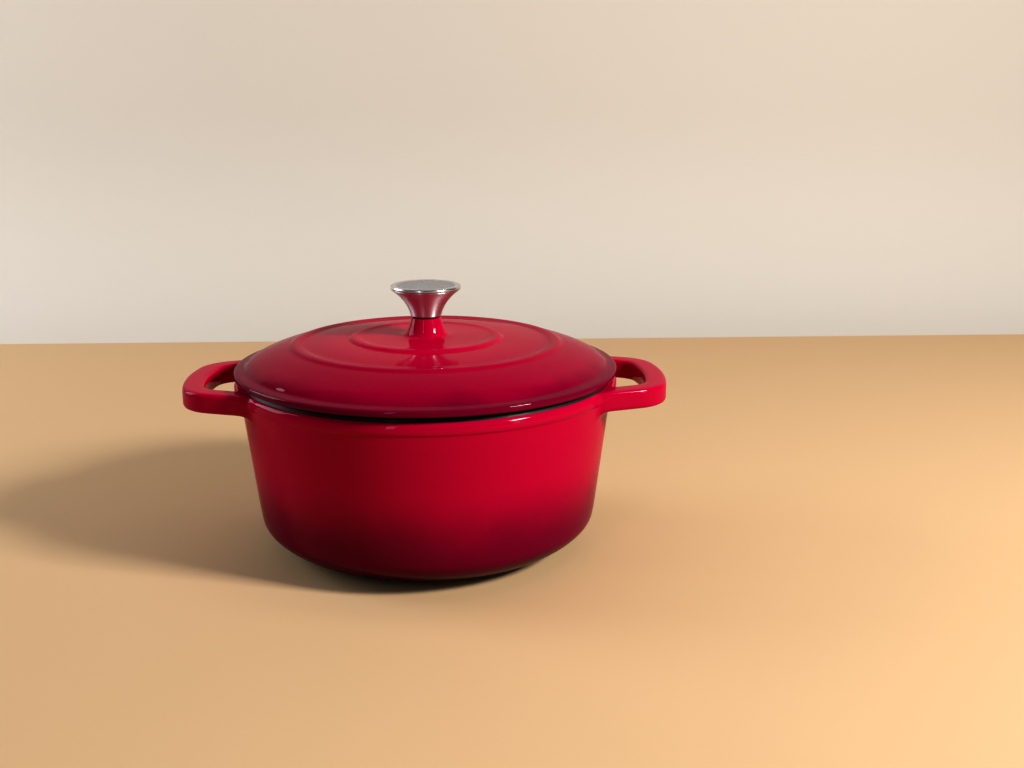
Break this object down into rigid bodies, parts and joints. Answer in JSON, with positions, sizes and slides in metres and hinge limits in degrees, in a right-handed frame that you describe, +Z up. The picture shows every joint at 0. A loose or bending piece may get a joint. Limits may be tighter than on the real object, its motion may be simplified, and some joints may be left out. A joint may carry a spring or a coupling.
{
  "type": "cast iron dutch oven",
  "caption": "Round red enamelled cast-iron dutch oven with loop handles and a domed lid that lifts off by a flared stainless steel knob.",
  "frame": {"origin": "centre of the pot's flat base, on the surface that it stands on", "axes": "+Z up along the pot's axis, +X towards the right-hand loop handle, +Y away from the front"},
  "size_m": [0.315, 0.25, 0.1742],
  "materials": {
    "red_enamel": "gloss vitreous enamel on cast iron, bright red shading to dark cherry at the foot of the pot and the edge of the lid, with a black enamel rim and inside",
    "stainless": "satin turned stainless steel with a polished edge",
    "fastener_steel": "plain stainless fastener",
    "gasket": "black silicone"
  },
  "bodies": {
    "pot": {"pot_body": "red_enamel", "handle_right": "red_enamel", "handle_left": "red_enamel"},
    "lid": {"lid_casting": "red_enamel", "knob_gasket": "gasket", "knob_body": "stainless", "knob_top_plate": "stainless", "knob_insert": "fastener_steel", "knob_screw": "fastener_steel", "spring_washer": "fastener_steel", "flat_washer": "fastener_steel"}
  },
  "joints": [
    {"name": "lid_lift", "type": "slide", "parent": "pot", "child": "lid", "axis": [0, 0, 1], "range_m": [0, 0.2]}
  ]
}
